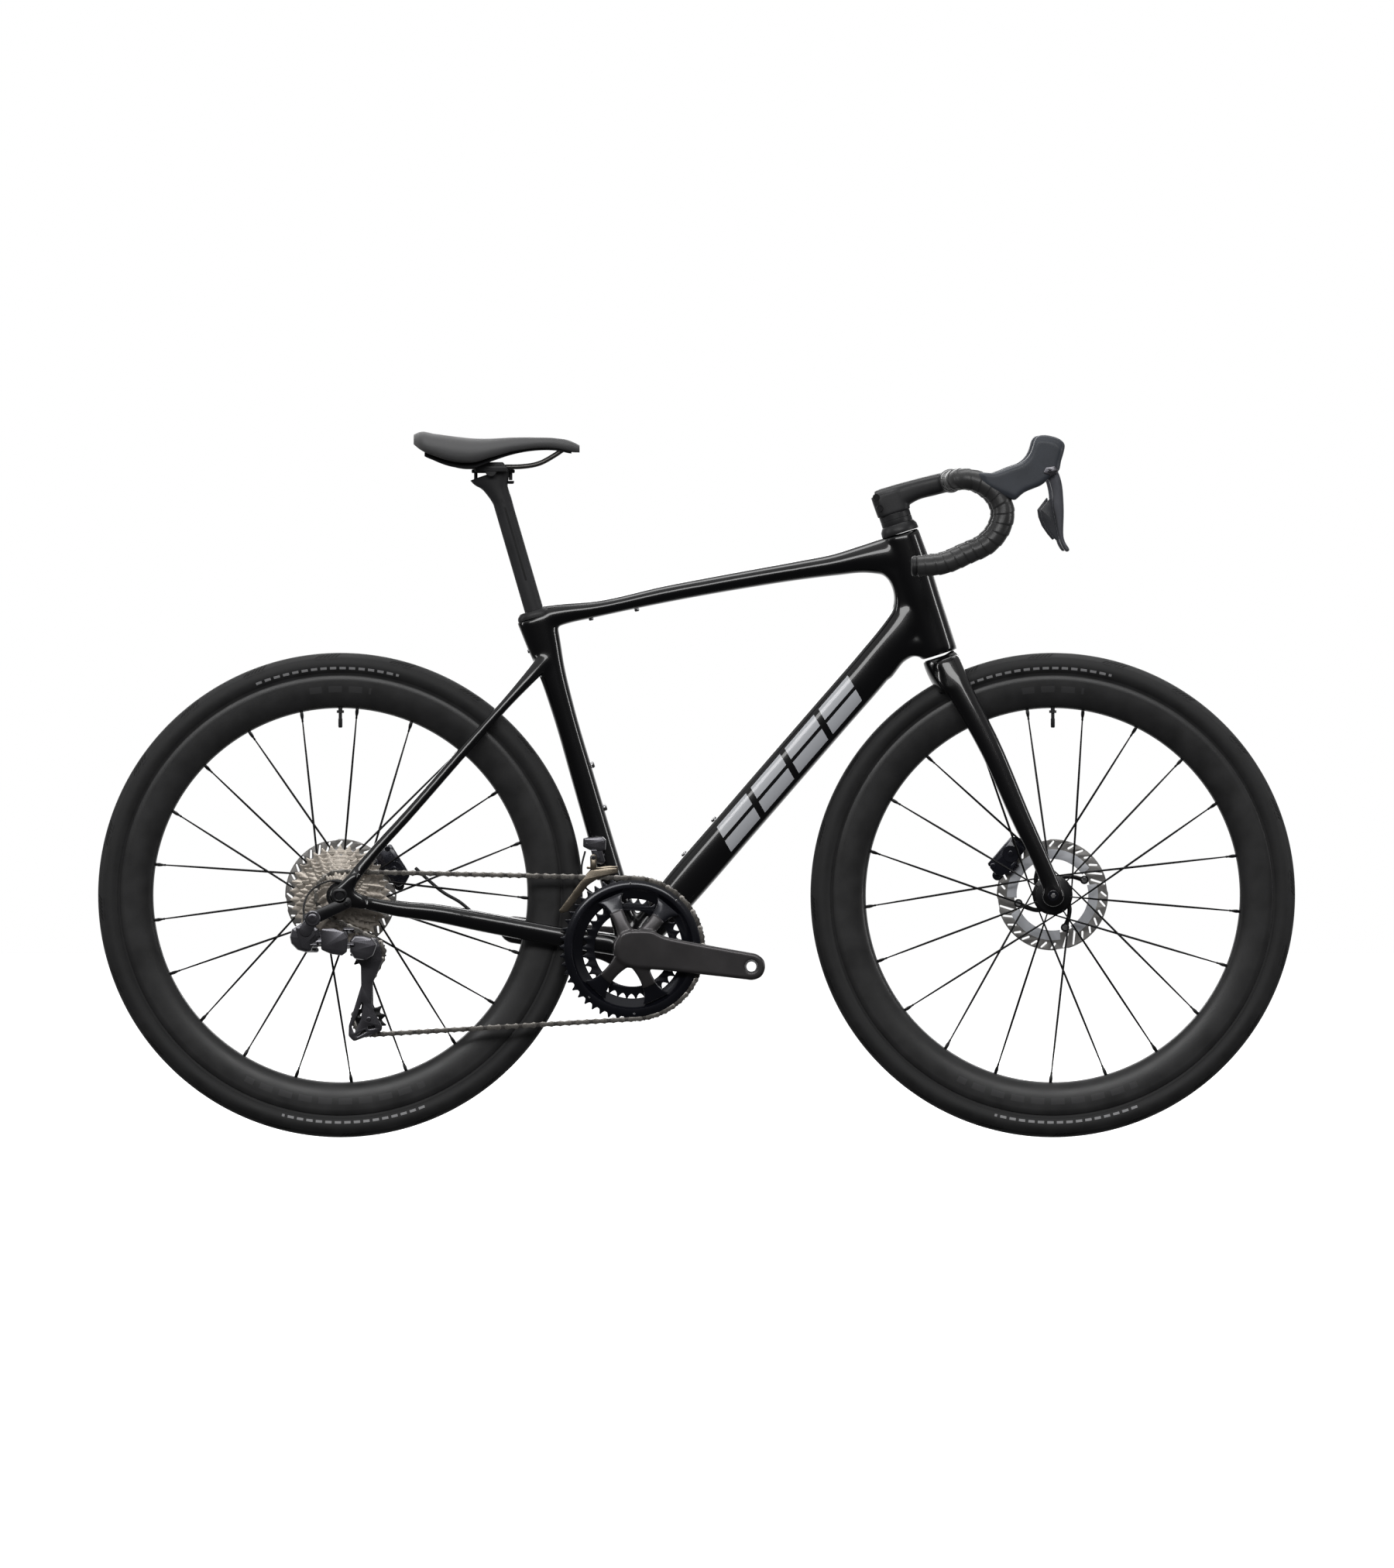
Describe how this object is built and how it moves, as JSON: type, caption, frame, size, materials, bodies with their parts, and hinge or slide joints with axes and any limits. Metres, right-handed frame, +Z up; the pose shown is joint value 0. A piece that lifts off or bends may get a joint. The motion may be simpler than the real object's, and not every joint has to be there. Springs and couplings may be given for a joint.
{
  "type": "road bicycle",
  "caption": "Black road bicycle with drop bars, deep rims, disc brakes, electronic shifting and a double chainset.",
  "frame": {"origin": "on the ground, midway between the wheels, in the bicycle's middle plane", "axes": "+X forward, +Y to the rider's left, +Z up; the chain is on the -Y side"},
  "size_m": [1.719, 0.4548, 1.0117],
  "materials": {
    "frame_gloss": "gloss black lacquer over moulded carbon composite",
    "satin_black": "satin black",
    "carbon_rim": "satin carbon",
    "tyre_rubber": "moulded rubber tread and sidewall",
    "black_alloy": "anodised black",
    "spoke_steel": "black bladed steel",
    "gunmetal": "gloss gunmetal grey",
    "crank_grey": "satin warm dark grey",
    "champagne": "nickel-plated champagne",
    "chain_steel": "grey steel",
    "bronze": "dark bronze chrome",
    "bare_steel": "bare steel",
    "pad_grey": "pressed resin compound",
    "bar_tape": "satin wrapped tape with overlaps",
    "hood_rubber": "blue-grey soft rubber",
    "saddle_cover": "matte dark grey cover with a ribbed patch",
    "rail_grey": "satin dark grey"
  },
  "bodies": {
    "frame_body": {"frame": "frame_gloss", "derailleur_hanger": "black_alloy", "seat_clamp": "satin_black", "frame_bearings": "bare_steel", "accessory_bolts": "black_alloy", "rear_brake_caliper": "black_alloy", "frame_cables": "satin_black", "rear_thru_axle": "black_alloy", "front_derailleur_body": "gunmetal", "chain": "chain_steel", "rear_derailleur_body": "gunmetal"},
    "rear_wheel": {"rear_tyre": "tyre_rubber", "rear_rim": "carbon_rim", "rear_spokes": "spoke_steel", "rear_hub": "black_alloy", "rear_rotor": "chain_steel", "rear_valve": "satin_black"},
    "cassette": {"cassette_sprockets": "champagne", "freehub_body": "champagne"},
    "crankset": {"outer_chainring": "black_alloy", "inner_chainring": "black_alloy", "right_crank_arm": "crank_grey", "left_crank_arm": "crank_grey", "crank_spindle": "bare_steel"},
    "front_end": {"fork": "frame_gloss", "headset_cover": "satin_black", "stem": "satin_black", "handlebar": "black_alloy", "handlebar_tape": "bar_tape", "lever_hoods": "hood_rubber", "front_brake_caliper": "black_alloy", "front_thru_axle": "black_alloy"},
    "front_wheel": {"front_tyre": "tyre_rubber", "front_rim": "carbon_rim", "front_spokes": "spoke_steel", "front_hub": "black_alloy", "front_rotor": "chain_steel", "front_valve": "satin_black"},
    "right_lever": {"right_brake_lever": "gunmetal"},
    "left_lever": {"left_brake_lever": "gunmetal"},
    "right_button_front": {"right_shift_button_front": "hood_rubber"},
    "right_button_rear": {"right_shift_button_rear": "hood_rubber"},
    "left_button_front": {"left_shift_button_front": "hood_rubber"},
    "left_button_rear": {"left_shift_button_rear": "hood_rubber"},
    "outer_link": {"rd_outer_link": "gunmetal"},
    "inner_link": {"rd_inner_link": "gunmetal"},
    "cage_knuckle": {"rd_cage_knuckle": "gunmetal"},
    "cage": {"rd_cage": "black_alloy"},
    "upper_pulley": {"guide_pulley": "black_alloy"},
    "lower_pulley": {"tension_pulley": "black_alloy"},
    "front_cage": {"fd_cage": "bronze"},
    "pad_front_inner": {"front_inner_pad": "pad_grey"},
    "pad_front_outer": {"front_outer_pad": "pad_grey"},
    "pad_rear_inner": {"rear_inner_pad": "pad_grey"},
    "pad_rear_outer": {"rear_outer_pad": "pad_grey"},
    "seat_post_body": {"seatpost": "satin_black", "battery": "satin_black", "saddle_clamp": "black_alloy"},
    "saddle_body": {"saddle": "saddle_cover", "saddle_rails": "rail_grey"}
  },
  "joints": [
    {"name": "steering", "type": "hinge", "parent": "frame_body", "child": "front_end", "pos_m": [0.2916, 0, 0.8717], "axis": [-0.304, 0, 0.9527], "range_deg": [-60, 60]},
    {"name": "front_wheel_spin", "type": "hinge", "parent": "front_end", "child": "front_wheel", "pos_m": [0.5115, 0, 0.348], "axis": [0, 1, 0], "continuous": true},
    {"name": "rear_wheel_spin", "type": "hinge", "parent": "frame_body", "child": "rear_wheel", "pos_m": [-0.5115, 0, 0.348], "axis": [0, 1, 0], "continuous": true},
    {"name": "crank_spin", "type": "hinge", "parent": "frame_body", "child": "crankset", "pos_m": [-0.092, 0, 0.272], "axis": [0, 1, 0], "continuous": true, "deforming": ["chain"]},
    {"name": "cassette_spin", "type": "hinge", "parent": "frame_body", "child": "cassette", "pos_m": [-0.5115, 0, 0.348], "axis": [0, 1, 0], "continuous": true},
    {"name": "derailleur_shift", "type": "hinge", "parent": "frame_body", "child": "outer_link", "pos_m": [-0.546, -0.081, 0.288], "axis": [0, 0.4226, 0.9063], "range_deg": [-24, 26]},
    {"name": "inner_link_swing", "type": "hinge", "parent": "frame_body", "child": "inner_link", "pos_m": [-0.546, -0.066, 0.281], "axis": [0, 0.4226, 0.9063], "range_deg": [-24, 26]},
    {"name": "knuckle_swing", "type": "hinge", "parent": "outer_link", "child": "cage_knuckle", "pos_m": [-0.504, -0.081, 0.288], "axis": [0, 0.4226, 0.9063], "range_deg": [-26, 24]},
    {"name": "cage_tension", "type": "hinge", "parent": "cage_knuckle", "child": "cage", "pos_m": [-0.482, 0, 0.273], "axis": [0, 1, 0], "range_deg": [-20, 25], "stiffness_Nm_per_rad": 1.5, "springref_deg": 2.86},
    {"name": "guide_pulley_spin", "type": "hinge", "parent": "cage", "child": "upper_pulley", "pos_m": [-0.471, 0, 0.266], "axis": [0, 1, 0], "continuous": true},
    {"name": "tension_pulley_spin", "type": "hinge", "parent": "cage", "child": "lower_pulley", "pos_m": [-0.47013, 0, 0.1706], "axis": [0, 1, 0], "continuous": true},
    {"name": "front_shift", "type": "slide", "parent": "frame_body", "child": "front_cage", "axis": [0, 1, 0], "range_m": [0, 0.0065]},
    {"name": "right_brake", "type": "hinge", "parent": "front_end", "child": "right_lever", "pos_m": [0.5034, -0.207, 0.9582], "axis": [0, 1, 0], "range_deg": [0, 20], "stiffness_Nm_per_rad": 1.2, "springref_deg": -17.19},
    {"name": "right_button_front_press", "type": "slide", "parent": "right_lever", "child": "right_button_front", "axis": [0, 1, 0], "range_m": [0, 0.0012], "stiffness_N_per_m": 800, "springref_m": -0.0006},
    {"name": "right_button_rear_press", "type": "slide", "parent": "right_lever", "child": "right_button_rear", "axis": [0, 1, 0], "range_m": [0, 0.0012], "stiffness_N_per_m": 800, "springref_m": -0.0006},
    {"name": "left_brake", "type": "hinge", "parent": "front_end", "child": "left_lever", "pos_m": [0.5034, 0.207, 0.9582], "axis": [0, 1, 0], "range_deg": [0, 20], "stiffness_Nm_per_rad": 1.2, "springref_deg": -17.19},
    {"name": "left_button_front_press", "type": "slide", "parent": "left_lever", "child": "left_button_front", "axis": [0, -1, 0], "range_m": [0, 0.0012], "stiffness_N_per_m": 800, "springref_m": -0.0006},
    {"name": "left_button_rear_press", "type": "slide", "parent": "left_lever", "child": "left_button_rear", "axis": [0, -1, 0], "range_m": [0, 0.0012], "stiffness_N_per_m": 800, "springref_m": -0.0006},
    {"name": "front_inner_pad_close", "type": "slide", "parent": "front_end", "child": "pad_front_inner", "axis": [0, 1, 0], "range_m": [0, 0.00035]},
    {"name": "front_outer_pad_close", "type": "slide", "parent": "front_end", "child": "pad_front_outer", "axis": [0, -1, 0], "range_m": [0, 0.00035]},
    {"name": "rear_inner_pad_close", "type": "slide", "parent": "frame_body", "child": "pad_rear_inner", "axis": [0, 1, 0], "range_m": [0, 0.00035]},
    {"name": "rear_outer_pad_close", "type": "slide", "parent": "frame_body", "child": "pad_rear_outer", "axis": [0, -1, 0], "range_m": [0, 0.00035]},
    {"name": "seatpost_height", "type": "slide", "parent": "frame_body", "child": "seat_post_body", "axis": [-0.2798, 0, 0.96], "range_m": [-0.045, 0.06]},
    {"name": "saddle_setback", "type": "slide", "parent": "seat_post_body", "child": "saddle_body", "axis": [1, 0, 0], "range_m": [-0.015, 0.015]}
  ],
  "couplings": [
    {"joint": "cassette_spin", "follows": "crank_spin", "ratio": 2.9412},
    {"joint": "tension_pulley_spin", "follows": "crank_spin", "ratio": 4.5455},
    {"joint": "guide_pulley_spin", "follows": "crank_spin", "ratio": -4.5455},
    {"joint": "inner_link_swing", "follows": "derailleur_shift", "ratio": 1},
    {"joint": "knuckle_swing", "follows": "derailleur_shift", "ratio": -1},
    {"joint": "front_inner_pad_close", "follows": "left_brake", "m_per_rad": 0.001},
    {"joint": "front_outer_pad_close", "follows": "left_brake", "m_per_rad": 0.001},
    {"joint": "rear_inner_pad_close", "follows": "right_brake", "m_per_rad": 0.001},
    {"joint": "rear_outer_pad_close", "follows": "right_brake", "m_per_rad": 0.001}
  ]
}
